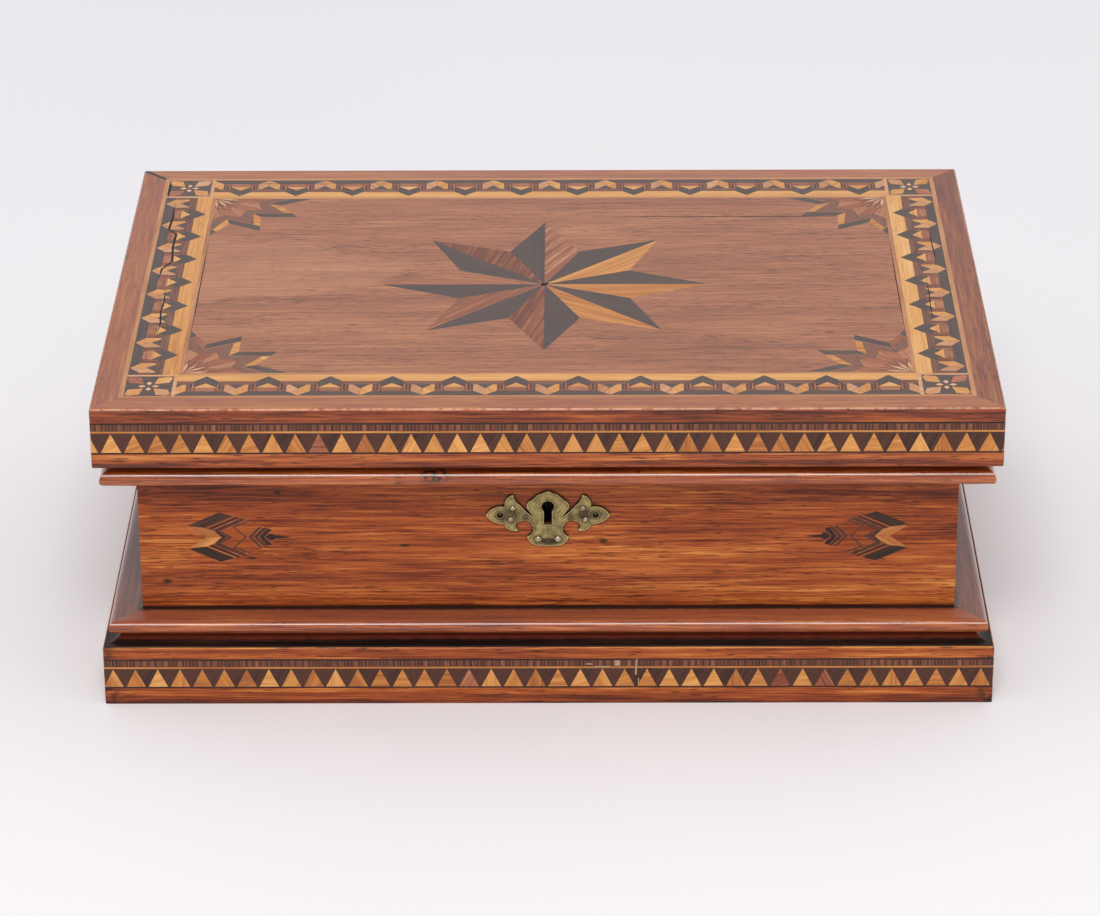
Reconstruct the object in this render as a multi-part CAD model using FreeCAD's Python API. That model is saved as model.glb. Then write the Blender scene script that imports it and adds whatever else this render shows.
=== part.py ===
import FreeCAD, Part

import math
import os

from FreeCAD import Placement, Rotation, Vector

# An inlaid mahogany box with a hinged lid, a brass box lock and a brass escutcheon.
# Millimetres. The origin is the middle of the underside, +Z is up and the front faces -Y.

# ---- overall size ---------------------------------------------------------------------
LENGTH = 356.0              # of the lid, along X
DEPTH = 252.0               # of the lid, along Y
HEIGHT = 130.0
HALF_X = LENGTH / 2
HALF_Y = DEPTH / 2

# ---- levels, from the underside up ----------------------------------------------------
PLINTH_TOP = 25.1
COVE_TOP = 29.4             # the ebonised cove lies on the plinth
FOOT_TOP = 35.4             # top of the moulding round the foot of the walls
RIM_BOTTOM = 95.0           # underside of the moulding round the top of the walls
JOINT = 104.4               # where the lid meets the case
LID_HOLLOW_TOP = 121.0      # underside of the board that closes the lid
VENEER = 1.0                # thickness of all inlays and bandings

# ---- plan -----------------------------------------------------------------------------
WALL_SETBACK = 15.7         # walls stand this far inside the lid
WALL = 10.0                 # thickness of the walls
WALL_X = HALF_X - WALL_SETBACK
WALL_Y = HALF_Y - WALL_SETBACK
LID_OUT = WALL_SETBACK      # offsets outwards from the walls' outer faces
PLINTH_OUT = LID_OUT - 0.5
COVE_OUT = PLINTH_OUT - 0.6
FOOT_OUT = LID_OUT - 3.0
RIM_OUT = LID_OUT - 2.4
PLINTH_RAIL = 30.0          # width of the plinth's rails
BOTTOM_BOARD = 6.0
CORNER_ROUND = 1.0          # worn vertical corners of lid and plinth

# ---- inlay bands round the lid and the plinth -----------------------------------------
LID_BAND = (HEIGHT - 19.4, HEIGHT - 6.1)
PLINTH_BAND = (PLINTH_TOP - 18.1, PLINTH_TOP - 5.1)

# ---- top of the lid -------------------------------------------------------------------
BORDER = 10.5               # plain mahogany border, the top of the lid's rails
OUTER_STRING = 1.9          # light stringing round the ribbon
RIBBON = 20.0               # patterned ribbon and its square corner blocks
INNER_STRING = 1.6
STAR_CENTRE = (-1.6, -3.0)
STAR_TIP = 67.3
STAR_VALLEY = 37.9
STAR_RAYS = 8
FAN_TIP = 42.0              # the corner fans are quarters of a twelve-pointed star
FAN_VALLEY = 29.2
FAN_STEP = 15.0

# ---- hinges ---------------------------------------------------------------------------
HINGE_X = 95.0
HINGE_WIDTH = 38.0
HINGE_Y = HALF_Y - 2.5      # the pins' axis, in the plane of the joint
LEAF_INNER_Y = 104.0
LEAF = 1.2
LEAF_GAP = 0.1              # between a leaf and the plane of the joint
KNUCKLE = 2.5
KNUCKLES = 5
KNUCKLE_ROOM = 0.3
PIN = 1.2
PIN_HOLE = 1.25
LEAF_SCREW_Y = 107.0
LEAF_SCREW_STEP = 12.0

# ---- screws ---------------------------------------------------------------------------
SCREW_HEAD = 2.4
SCREW_SHANK = 1.1
SCREW_LENGTH = 9.0
SCREW_HOLE = 1.2

# ---- lock -----------------------------------------------------------------------------
LOCK_HALF = 25.0            # half length of the lock's case
LOCK_BOTTOM = 67.0
LOCK_BACK = -(WALL_Y - WALL)            # the lock's face inside the box
LOCK_FRONT = LOCK_BACK - 7.6
LOCK_SHEET = 1.2
LOCK_CAP = 1.0
FACE_HALF = 31.0            # half length of the lock's back plate, selvedge and link plate
SELVEDGE_WIDTH = 8.6
KEYHOLE_Z = 80.4
KEYHOLE = 2.6
KEY_SLOT = 3.2
KEY_SLOT_BOTTOM = 72.6
STAPLES_X = (-12.0, 12.0)
STAPLE = 2.0                # thickness along X
STAPLE_Y = (LOCK_BACK - 6.2, LOCK_BACK - 1.6)
STAPLE_BOTTOM = 95.2
EYE_Z = (97.2, 101.6)
EYE_RIM = 1.0
BOLT_TRAVEL = 5.0
BOLT_Z = (87.5, 94.4)
BOLT_X = (-21.4, 16.0)
HOOK_Z = (98.0, 101.0)
HOOK_THICK = 2.0
HOOK_POST = 3.0

# ---- escutcheon -----------------------------------------------------------------------
ESCUTCHEON = 1.2
ESCUTCHEON_BOTTOM = 63.1
PLATE_PINS = ((13.8, 16.7, 1.25), (14.8, 11.6, 1.25), (3.9, 3.1, 1.5))      # x, height, head
SUNK_PINS = ((18.9, 13.7, 1.3),)                                            # x, height, hole
PIN_SHANK = 0.6
PIN_DEPTH = 2.0

# ---- marquetry motifs on the front wall -----------------------------------------------
MOTIF_Z = 66.8
MOTIF = ((-135.6, 0.0), (-143.0, 5.1), (-130.3, 10.9), (-121.0, 8.2), (-110.0, 3.5), (-108.5, 0.8), (-101.8, 0.0))

SIDES = {"front": 0, "right": 90, "back": 180, "left": 270}


# ---- helpers --------------------------------------------------------------------------
def block(x, y, z):
    """A box between pairs of limits along X, Y and Z."""
    return Part.makeBox(x[1] - x[0], y[1] - y[0], z[1] - z[0], Vector(x[0], y[0], z[0]))


def rod(radius, start, along):
    """A round rod from a start point, with its length and direction in one vector."""
    return Part.makeCylinder(radius, along.Length, start, along)


def outline(to_3d, start, *steps):
    """A closed wire. A step is a point, or a pair of points: an arc through the first to the second."""
    edges = []
    here = start
    for step in steps + (start,):
        if isinstance(step[0], tuple):
            through, there = step
            edges.append(Part.Arc(to_3d(*here), to_3d(*through), to_3d(*there)).toShape())
        else:
            there = step
            if there != here:
                edges.append(Part.makeLine(to_3d(*here), to_3d(*there)))
        here = there
    return Part.Wire(edges)


def slab(points, z):
    """A flat piece of a polygon's shape between two heights."""
    corners = [Vector(x, y, z[0]) for x, y in points]
    return Part.Face(Part.makePolygon(corners + corners[:1])).extrude(Vector(0, 0, z[1] - z[0]))


def turn(shape, degrees):
    """The shape turned about the Z axis."""
    turned = shape.copy()
    turned.Placement = Placement(Vector(), Rotation(Vector(0, 0, 1), degrees)).multiply(turned.Placement)
    return turned


def mirrored(shape, normal):
    return shape.mirror(Vector(), normal)


def cut_all(shape, tools):
    for tool in tools:
        shape = shape.cut(tool)
    return shape


def fuse_all(shapes):
    return shapes[0].fuse(shapes[1:]).removeSplitter()


def mitred_rail(side, *section):
    """One side of a mitred frame. Its section's points are (outwards from the walls, up)."""
    along, across = (WALL_X, WALL_Y) if side in ("front", "back") else (WALL_Y, WALL_X)
    wire = outline(lambda out, up: Vector(-HALF_X, -across - out, up), *section)
    bar = Part.Face(wire).extrude(Vector(LENGTH, 0, 0))
    inner = wire.BoundBox.YMax + across
    outer = wire.BoundBox.YMin + across
    corners = [(sign * (along - out), -across + out) for out, sign in
               ((inner, -1), (inner, 1), (outer, 1), (outer, -1))]
    wedge = slab(corners, (0, HEIGHT))
    return turn(bar.common(wedge), SIDES[side])


def rectangle(out, up):
    """A rectangular section between pairs of limits."""
    return (out[0], up[0]), (out[1], up[0]), (out[1], up[1]), (out[0], up[1])


def rounded_envelope(out, z):
    """A tall block whose vertical corners are worn round."""
    body = block((-WALL_X - out, WALL_X + out), (-WALL_Y - out, WALL_Y + out), z)
    uprights = [edge for edge in body.Edges if abs(edge.tangentAt(edge.FirstParameter).z) > 0.9]
    return body.makeFillet(CORNER_ROUND, uprights)


def screw(head_at, into):
    """A countersunk wood screw with a slotted head, its head flush at a point."""
    head = Part.makeCone(SCREW_HEAD, SCREW_SHANK, LEAF)
    shank = Part.makeCylinder(SCREW_SHANK, SCREW_LENGTH - LEAF - 1.5, Vector(0, 0, LEAF))
    tip = Part.makeCone(SCREW_SHANK, 0.2, 1.5, Vector(0, 0, SCREW_LENGTH - 1.5))
    slot = block((-3, 3), (-0.3, 0.3), (0, 0.5))
    made = fuse_all([head, shank, tip]).cut(slot)
    made.Placement = Placement(head_at, Rotation(Vector(0, 0, 1), into))
    return made


def screw_hole(head_at, into):
    """The hole that a screw's shank leaves in the wood."""
    return rod(SCREW_HOLE, head_at, into * (SCREW_LENGTH + 0.3))


def countersink(head_at, into):
    """The hole for a screw's head through a brass plate."""
    sink = Part.makeCone(SCREW_HEAD + 0.1, SCREW_HOLE + 0.05, LEAF)
    sink.Placement = Placement(head_at, Rotation(Vector(0, 0, 1), into))
    return sink


# ---- hinges ---------------------------------------------------------------------------
UP = Vector(0, 0, 1)
DOWN = Vector(0, 0, -1)
INTO_WALL = Vector(0, -1, 0)


def hinge_leaf(middle, knuckles, rises):
    """A leaf with its knuckles. It lies under the plane of the joint, or above it if it rises."""
    ends = (middle - HINGE_WIDTH / 2, middle + HINGE_WIDTH / 2)
    step = HINGE_WIDTH / KNUCKLES
    levels = (JOINT - LEAF_GAP - LEAF, JOINT - LEAF_GAP)
    plate_edge = HINGE_Y - KNUCKLE - KNUCKLE_ROOM
    pieces = [block(ends, (LEAF_INNER_Y, plate_edge), levels)]
    for number in knuckles:
        span = (ends[0] + number * step + LEAF_GAP, ends[0] + (number + 1) * step - LEAF_GAP)
        pieces.append(block(span, (plate_edge, HINGE_Y - KNUCKLE + 0.9), levels))
        pieces.append(rod(KNUCKLE, Vector(span[0], HINGE_Y, JOINT), Vector(span[1] - span[0], 0, 0)))
    leaf = fuse_all(pieces).cut(pin_hole(ends))
    leaf = cut_all(leaf, [countersink(at, DOWN) for at in leaf_screws(middle)])
    return flipped(leaf) if rises else leaf


def pin_hole(ends):
    return rod(PIN_HOLE, Vector(ends[0] - 1, HINGE_Y, JOINT), Vector(ends[1] - ends[0] + 2, 0, 0))


def flipped(shape):
    """The shape mirrored in the plane of the joint."""
    return shape.mirror(Vector(0, 0, JOINT), UP)


def leaf_screws(middle):
    """Where the heads of a lower leaf's screws are."""
    return [Vector(middle + step * LEAF_SCREW_STEP, LEAF_SCREW_Y, JOINT - LEAF_GAP) for step in (-1, 0, 1)]


def hinge_pin(middle):
    return rod(PIN, Vector(middle - HINGE_WIDTH / 2, HINGE_Y, JOINT), Vector(HINGE_WIDTH, 0, 0))


def hinge_recess(middle):
    """The wood cut away under a lower leaf and round its knuckles."""
    width = (middle - HINGE_WIDTH / 2 - LEAF_GAP, middle + HINGE_WIDTH / 2 + LEAF_GAP)
    outside = HALF_Y + 1
    under_leaf = block(width, (LEAF_INNER_Y - LEAF_GAP, outside), (JOINT - LEAF_GAP - LEAF, JOINT))
    round_knuckle = block(width, (HINGE_Y - KNUCKLE - 0.4, outside), (JOINT - KNUCKLE - KNUCKLE_ROOM, JOINT))
    holes = [screw_hole(at, DOWN) for at in leaf_screws(middle)]
    return fuse_all([under_leaf, round_knuckle] + holes)


# ---- lock -----------------------------------------------------------------------------
def keyhole(y):
    """The keyhole, a round hole with a slot below it, between two depths."""
    through = Vector(0, y[1] - y[0], 0)
    hole = rod(KEYHOLE, Vector(0, y[0], KEYHOLE_Z), through)
    slot = block((-KEY_SLOT / 2, KEY_SLOT / 2), y, (KEY_SLOT_BOTTOM, KEYHOLE_Z))
    return fuse_all([hole, slot])


def lock_screws():
    return [Vector(side * (FACE_HALF - 3), LOCK_BACK, 84) for side in (-1, 1)]


def link_screws():
    return [Vector(side * (FACE_HALF - 4.5), sum(STAPLE_Y) / 2, JOINT) for side in (-1, 1)]


def lock_case():
    """The tray of the lock, with its back plate inside the box and its selvedge in the rim."""
    sheet = (LOCK_BACK - LOCK_SHEET, LOCK_BACK)
    inside = (LOCK_FRONT + LOCK_CAP, sheet[0])
    back = block((-FACE_HALF, FACE_HALF), sheet, (LOCK_BOTTOM - 1, JOINT))
    selvedge = block((-FACE_HALF, FACE_HALF), (LOCK_BACK - SELVEDGE_WIDTH, LOCK_BACK), (JOINT - LOCK_SHEET, JOINT))
    floor = block((-LOCK_HALF, LOCK_HALF), inside, (LOCK_BOTTOM, LOCK_BOTTOM + 1))
    pieces = [back, selvedge, floor]
    for side in (-1, 1):
        end = sorted((side * LOCK_HALF, side * (LOCK_HALF - 1)))
        ledge = sorted((side * LOCK_HALF, side * (LOCK_HALF - 11)))
        pieces.append(block(end, inside, (LOCK_BOTTOM, JOINT - LOCK_SHEET)))
        pieces.append(block(ledge, inside, (BOLT_Z[0] - 3.4, BOLT_Z[0] - 0.1)))
    case = fuse_all(pieces)
    for x in STAPLES_X:
        room = 0.5
        case = case.cut(block((x - STAPLE / 2 - room, x + STAPLE / 2 + room),
                              (STAPLE_Y[0] - room, STAPLE_Y[1] + room / 5), (JOINT - LOCK_SHEET, JOINT)))
    return cut_all(case, [countersink(at, INTO_WALL) for at in lock_screws()])


def lock_cap():
    """The plate that closes the lock towards the wall, with the keyhole in it."""
    span = (LOCK_FRONT, LOCK_FRONT + LOCK_CAP)
    plate = block((-LOCK_HALF, LOCK_HALF), span, (LOCK_BOTTOM, JOINT - LOCK_SHEET))
    return plate.cut(keyhole(span))


def lock_spring():
    """A bent strip between the selvedge and the bolt, which keeps the bolt where the key leaves it."""
    middle_x = -2.8
    outer, strip, width = 1.8, 0.4, 3.0
    start_y = sum(STAPLE_Y) / 2 - width / 2
    bend_z = BOLT_Z[1] + 0.2 + outer
    across = Vector(0, width, 0)
    bend = rod(outer, Vector(middle_x, start_y, bend_z), across)
    bend = bend.cut(rod(outer - strip, Vector(middle_x, start_y, bend_z), across))
    bend = bend.cut(block((middle_x - 3, middle_x + 3), (start_y, start_y + width), (bend_z, bend_z + 3)))
    legs = [block(sorted((middle_x + side * outer, middle_x + side * (outer - strip))),
                  (start_y, start_y + width), (bend_z, JOINT - LOCK_SHEET)) for side in (-1, 1)]
    return fuse_all([bend] + legs)


def bolt():
    """The sliding bolt, drawn back, with a hook beside each staple and a notch that the key turns in."""
    middle_y = sum(STAPLE_Y) / 2
    bar = block(BOLT_X, (STAPLE_Y[0] - 0.1, STAPLE_Y[1] - 0.1), BOLT_Z)
    pieces = [bar]
    for x in STAPLES_X:
        tip = x - STAPLE / 2 - 0.5
        root = x - STAPLE / 2 - BOLT_TRAVEL - 0.4
        thick = (middle_y - HOOK_THICK / 2, middle_y + HOOK_THICK / 2)
        pieces.append(block((root - HOOK_POST, root), thick, (BOLT_Z[1], HOOK_Z[1])))
        pieces.append(block((root, tip), thick, HOOK_Z))
    notch = block((-4, 1), (STAPLE_Y[0] - 1, STAPLE_Y[1] + 1), (BOLT_Z[0], BOLT_Z[0] + 2.5))
    return fuse_all(pieces).cut(notch)


def link_plate():
    """The plate in the lid's front rail, with two staples that drop into the lock."""
    width = (STAPLE_Y[0] - 2.1, STAPLE_Y[1] + 1.3)
    pieces = [block((-FACE_HALF, FACE_HALF), width, (JOINT, JOINT + LOCK_SHEET))]
    for x in STAPLES_X:
        strap = block((x - STAPLE / 2, x + STAPLE / 2), STAPLE_Y, (STAPLE_BOTTOM, JOINT))
        lower = [edge for edge in strap.Edges
                 if abs(edge.tangentAt(0).x) > 0.9 and edge.BoundBox.ZMax < STAPLE_BOTTOM + 0.1]
        strap = strap.makeFillet(1.2, lower)
        eye = block((x - STAPLE, x + STAPLE), (STAPLE_Y[0] + EYE_RIM, STAPLE_Y[1] - EYE_RIM), EYE_Z)
        pieces.append(strap.cut(eye))
    plate = fuse_all(pieces)
    return cut_all(plate, [countersink(at, UP) for at in link_screws()])


def lock_mortise():
    """The room for the lock in the front wall."""
    pocket = block((-LOCK_HALF, LOCK_HALF), (LOCK_FRONT, LOCK_BACK), (LOCK_BOTTOM, JOINT))
    back = block((-FACE_HALF, FACE_HALF), (LOCK_BACK - LOCK_SHEET, LOCK_BACK), (LOCK_BOTTOM - 1, JOINT))
    top = block((-FACE_HALF, FACE_HALF), (LOCK_BACK - SELVEDGE_WIDTH, LOCK_BACK), (JOINT - LOCK_SHEET, JOINT))
    holes = [screw_hole(at, INTO_WALL) for at in lock_screws()]
    return fuse_all([pocket, back, top] + holes)


# ---- escutcheon -----------------------------------------------------------------------
def escutcheon_half():
    """The right half of the escutcheon's outline, from its top point round to its foot."""
    return ((0.0, 24.2),
            ((2.1, 23.3), (3.9, 22.6)),
            (6.6, 20.0),
            ((8.3, 18.1), (7.6, 15.8)),
            (5.4, 12.5),
            ((8.6, 15.2), (11.0, 18.0)),
            ((12.9, 20.0), (13.7, 22.5)),
            ((16.2, 20.9), (16.9, 17.2)),
            ((21.2, 16.9), (24.5, 13.5)),
            ((21.4, 10.7), (17.2, 9.8)),
            ((15.4, 7.4), (11.7, 7.1)),
            ((12.9, 9.2), (11.0, 11.0)),
            ((8.1, 11.2), (6.2, 9.2)),
            ((6.1, 6.1), (8.3, 4.2)),
            ((7.2, 2.0), (4.9, 0.4)),
            (0.0, 0.0))


def escutcheon_plate():
    right = Part.Face(outline(lambda x, up: Vector(x, -WALL_Y, ESCUTCHEON_BOTTOM + up), *escutcheon_half()))
    right = right.extrude(Vector(0, -ESCUTCHEON, 0))
    plate = fuse_all([right, mirrored(right, Vector(1, 0, 0))])
    plate = plate.cut(keyhole((-WALL_Y - ESCUTCHEON, -WALL_Y)))
    holes = [rod(PIN_SHANK + 0.05, at, Vector(0, -ESCUTCHEON, 0)) for at, _ in plate_pins()]
    holes += [rod(radius, at, Vector(0, -ESCUTCHEON, 0)) for at, radius in sunk_pins()]
    return cut_all(plate, holes)


def on_wall(spots):
    """Places on the wall's face, both sides of the middle, each with its radius."""
    return [(Vector(side * x, -WALL_Y, ESCUTCHEON_BOTTOM + up), radius)
            for x, up, radius in spots for side in (-1, 1)]


def plate_pins():
    return on_wall(PLATE_PINS)


def sunk_pins():
    return on_wall(SUNK_PINS)


def domed_pin(foot, head, lift):
    """A pin whose domed head stands on the plate, or on the wall in the plate's hole."""
    rise = head * 0.6
    sphere = (head * head + rise * rise) / (2 * rise)
    centre = foot + Vector(0, -lift + sphere - rise, 0)
    reach = block((foot.x - 2, foot.x + 2), (foot.y - lift - 2, foot.y - lift), (foot.z - 2, foot.z + 2))
    dome = Part.makeSphere(sphere, centre).common(reach)
    shank = rod(PIN_SHANK, foot + Vector(0, -lift, 0), Vector(0, PIN_DEPTH + lift, 0))
    return fuse_all([dome, shank])


def escutcheon_pins():
    pins = [domed_pin(at, radius, ESCUTCHEON) for at, radius in plate_pins()]
    pins += [domed_pin(at, PIN_SHANK + 0.2, 0.0) for at, _ in sunk_pins()]
    return Part.makeCompound(pins)


# ---- inlays ---------------------------------------------------------------------------
def front_motif():
    """The left motif: a whole marquetry figure, its points taken from its own middle line."""
    lower = [(x, -up) for x, up in MOTIF[-2:0:-1]]
    points = list(MOTIF) + lower
    corners = [Vector(x, -WALL_Y, MOTIF_Z + up) for x, up in points]
    return Part.Face(Part.makePolygon(corners + corners[:1])).extrude(Vector(0, VENEER, 0))


def polar(centre, radius, degrees):
    angle = math.radians(degrees)
    return centre[0] + radius * math.cos(angle), centre[1] + radius * math.sin(angle)


def star_half(ray, side):
    """Half of one of the star's rays: side 1 is the half that lies counter-clockwise."""
    tip_angle = ray * 360 / STAR_RAYS
    points = [STAR_CENTRE,
              polar(STAR_CENTRE, STAR_TIP, tip_angle),
              polar(STAR_CENTRE, STAR_VALLEY, tip_angle + side * 180 / STAR_RAYS)]
    return slab(points, TOP_LEVELS)


def corner_fan(side_x, side_y):
    """A quarter star that opens from a corner of the field."""
    points = [(0, 0)]
    for step in range(7):
        radius = FAN_VALLEY if step % 2 else FAN_TIP
        points.append(polar((0, 0), radius, step * FAN_STEP))
    return slab([(side_x * (FIELD_X - x), side_y * (FIELD_Y - y)) for x, y in points], TOP_LEVELS)


def ring(outer_x, outer_y, width):
    """Four mitred strips of stringing round a rectangle."""
    strips = []
    for side in (-1, 1):
        strips.append(slab([(-outer_x, side * outer_y), (outer_x, side * outer_y),
                            (outer_x - width, side * (outer_y - width)),
                            (width - outer_x, side * (outer_y - width))], TOP_LEVELS))
        strips.append(slab([(side * outer_x, -outer_y), (side * outer_x, outer_y),
                            (side * (outer_x - width), outer_y - width),
                            (side * (outer_x - width), width - outer_y)], TOP_LEVELS))
    return strips


TOP_LEVELS = (HEIGHT - VENEER, HEIGHT)
PANEL_X = HALF_X - BORDER
PANEL_Y = HALF_Y - BORDER
RIBBON_X = PANEL_X - OUTER_STRING
RIBBON_Y = PANEL_Y - OUTER_STRING
FIELD_X = RIBBON_X - RIBBON - INNER_STRING
FIELD_Y = RIBBON_Y - RIBBON - INNER_STRING
CORNERS = [(x, y) for x in (-1, 1) for y in (-1, 1)]

parts = {}

# ---- plinth, cove and foot moulding ---------------------------------------------------
PLINTH_IN = PLINTH_OUT - PLINTH_RAIL
PLINTH_ROUND = 0.8
plinth_section = ((PLINTH_IN, 0),
                  (PLINTH_OUT, 0),
                  (PLINTH_OUT, PLINTH_TOP - PLINTH_ROUND),
                  ((PLINTH_OUT - 0.24, PLINTH_TOP - 0.24), (PLINTH_OUT - PLINTH_ROUND, PLINTH_TOP)),
                  (PLINTH_IN, PLINTH_TOP))
cove_section = ((0, PLINTH_TOP),
                (COVE_OUT, PLINTH_TOP),
                (COVE_OUT, PLINTH_TOP + 0.6),
                ((COVE_OUT - 4.3, PLINTH_TOP + 1.4), (COVE_OUT - 7.2, COVE_TOP)),
                (0, COVE_TOP))
NOSE = 2.8
foot_section = ((0, COVE_TOP),
                (FOOT_OUT - NOSE, COVE_TOP),
                ((FOOT_OUT, COVE_TOP + NOSE), (FOOT_OUT - NOSE, COVE_TOP + 2 * NOSE)),
                (0, FOOT_TOP))
RIM_ROUND = 3.6             # radius of the rim's upper rounding
RIM_NOSE = RIM_BOTTOM + 2.6
RIM_LEDGE = RIM_NOSE + RIM_ROUND
RIM_MIDWAY = RIM_ROUND * math.sqrt(0.5)
rim_section = ((0, RIM_BOTTOM),
               (RIM_OUT - 2.4, RIM_BOTTOM),
               ((RIM_OUT - 0.6, RIM_BOTTOM + 0.8), (RIM_OUT, RIM_NOSE)),
               ((RIM_OUT - RIM_ROUND + RIM_MIDWAY, RIM_NOSE + RIM_MIDWAY), (RIM_OUT - RIM_ROUND, RIM_LEDGE)),
               (RIM_OUT - RIM_ROUND - 1.6, RIM_LEDGE),
               (RIM_OUT - RIM_ROUND - 1.6, JOINT),
               (0, JOINT))
plinth_envelope = rounded_envelope(PLINTH_OUT, (0, PLINTH_TOP))
plinth_band_section = rectangle((PLINTH_OUT - VENEER, PLINTH_OUT), PLINTH_BAND)
plinth_bands = {side: mitred_rail(side, *plinth_band_section).common(plinth_envelope) for side in SIDES}
for side in SIDES:
    rail = mitred_rail(side, *plinth_section).common(plinth_envelope)
    parts["plinth_" + side] = rail.cut(plinth_bands[side])
    parts["ebonised_cove_" + side] = mitred_rail(side, *cove_section)
    parts["foot_moulding_" + side] = mitred_rail(side, *foot_section)
    parts["rim_moulding_" + side] = mitred_rail(side, *rim_section)
    parts["wall_" + side] = mitred_rail(side, *rectangle((-WALL, 0), (PLINTH_TOP, JOINT)))
parts["plinth_banding"] = Part.makeCompound(list(plinth_bands.values()))
parts["bottom_board"] = block((WALL - WALL_X, WALL_X - WALL), (WALL - WALL_Y, WALL_Y - WALL),
                              (PLINTH_TOP, PLINTH_TOP + BOTTOM_BOARD))

# ---- lid ------------------------------------------------------------------------------
EDGE_ROUND = 1.2
ARRIS = 0.6
lid_section = ((-WALL, JOINT),
               (LID_OUT - ARRIS, JOINT),
               (LID_OUT, JOINT + ARRIS),
               (LID_OUT, HEIGHT - EDGE_ROUND),
               ((LID_OUT - 0.35, HEIGHT - 0.35), (LID_OUT - EDGE_ROUND, HEIGHT)),
               (LID_OUT - BORDER, HEIGHT),
               (LID_OUT - BORDER, LID_HOLLOW_TOP),
               (-WALL, LID_HOLLOW_TOP))
lid_envelope = rounded_envelope(LID_OUT, (JOINT, HEIGHT))
lid_band_section = rectangle((LID_OUT - VENEER, LID_OUT), LID_BAND)
lid_bands = {side: mitred_rail(side, *lid_band_section).common(lid_envelope) for side in SIDES}
for side in SIDES:
    rail = mitred_rail(side, *lid_section).common(lid_envelope)
    parts["lid_rail_" + side] = rail.cut(lid_bands[side])
parts["lid_banding"] = Part.makeCompound(list(lid_bands.values()))
parts["lid_panel"] = block((-PANEL_X, PANEL_X), (-PANEL_Y, PANEL_Y), (LID_HOLLOW_TOP, TOP_LEVELS[0]))

# ---- inlay on the lid -----------------------------------------------------------------
parts["lid_stringing"] = Part.makeCompound(ring(PANEL_X, PANEL_Y, OUTER_STRING)
                                           + ring(FIELD_X + INNER_STRING, FIELD_Y + INNER_STRING, INNER_STRING))
for name, side in (("front", -1), ("back", 1)):
    across = sorted((side * RIBBON_Y, side * (RIBBON_Y - RIBBON)))
    parts["ribbon_" + name] = block((RIBBON - RIBBON_X, RIBBON_X - RIBBON), across, TOP_LEVELS)
for name, side in (("left", -1), ("right", 1)):
    across = sorted((side * RIBBON_X, side * (RIBBON_X - RIBBON)))
    parts["ribbon_" + name] = block(across, (RIBBON - RIBBON_Y, RIBBON_Y - RIBBON), TOP_LEVELS)
parts["corner_blocks"] = Part.makeCompound([
    block(sorted((x * RIBBON_X, x * (RIBBON_X - RIBBON))), sorted((y * RIBBON_Y, y * (RIBBON_Y - RIBBON))),
          TOP_LEVELS) for x, y in CORNERS])
fans = [corner_fan(x, y) for x, y in CORNERS]
ebony_halves = [star_half(ray, 1) for ray in range(STAR_RAYS)]
wood_halves = [star_half(ray, -1) for ray in range(STAR_RAYS)]
parts["corner_fans"] = Part.makeCompound(fans)
parts["star_ebony_halves"] = Part.makeCompound(ebony_halves)
parts["star_wood_halves"] = Part.makeCompound(wood_halves)
field = block((-FIELD_X, FIELD_X), (-FIELD_Y, FIELD_Y), TOP_LEVELS)
parts["field_veneer"] = cut_all(field, fans + ebony_halves + wood_halves)

# ---- hinges ---------------------------------------------------------------------------
lower_screws = []
for name, middle in (("left", -HINGE_X), ("right", HINGE_X)):
    recess = hinge_recess(middle)
    for node in ("wall_back", "rim_moulding_back"):
        parts[node] = parts[node].cut(recess)
    parts["lid_rail_back"] = parts["lid_rail_back"].cut(flipped(recess))
    parts["hinge_" + name + "_lower_leaf"] = hinge_leaf(middle, (0, 2, 4), False)
    parts["hinge_" + name + "_upper_leaf"] = hinge_leaf(middle, (1, 3), True)
    parts["hinge_" + name + "_pin"] = hinge_pin(middle)
    lower_screws += [screw(at, DOWN) for at in leaf_screws(middle)]
parts["hinge_screws_lower"] = Part.makeCompound(lower_screws)
parts["hinge_screws_upper"] = Part.makeCompound([flipped(made) for made in lower_screws])

# ---- lock, escutcheon and motifs in the front wall ------------------------------------
motif = front_motif()
parts["front_motif_left"] = motif
parts["front_motif_right"] = mirrored(motif, Vector(1, 0, 0))
into_wood = [rod(PIN_SHANK + 0.05, at, Vector(0, PIN_DEPTH + 0.2, 0)) for at, _ in plate_pins() + sunk_pins()]
parts["wall_front"] = cut_all(parts["wall_front"],
                              [lock_mortise(), keyhole((-WALL_Y, LOCK_FRONT)), motif,
                               parts["front_motif_right"]] + into_wood)
parts["escutcheon_plate"] = escutcheon_plate()
parts["escutcheon_pins"] = escutcheon_pins()
parts["lock_case"] = lock_case()
parts["lock_cap"] = lock_cap()
parts["lock_spring"] = lock_spring()
parts["lock_bolt"] = bolt()
parts["lock_screws"] = Part.makeCompound([screw(at, INTO_WALL) for at in lock_screws()])
parts["link_plate"] = link_plate()
parts["link_screws"] = Part.makeCompound([screw(at, UP) for at in link_screws()])
link_recess = block((-FACE_HALF, FACE_HALF), (STAPLE_Y[0] - 2.1, STAPLE_Y[1] + 1.3), (JOINT, JOINT + LOCK_SHEET))
parts["lid_rail_front"] = cut_all(parts["lid_rail_front"],
                                  [link_recess] + [screw_hole(at, UP) for at in link_screws()])

# ---- export ---------------------------------------------------------------------------
os.makedirs("parts", exist_ok=True)
for name, shape in parts.items():
    shape.exportStep("parts/" + name + ".step")
    print(name, "solids", len(shape.Solids), "valid", shape.isValid(), "volume", round(shape.Volume, 1))
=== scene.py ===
import math
import random
from collections import namedtuple
from functools import partial

import bmesh
import bpy
from mathutils import Matrix, Vector
from mathutils.geometry import delaunay_2d_cdt


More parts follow.
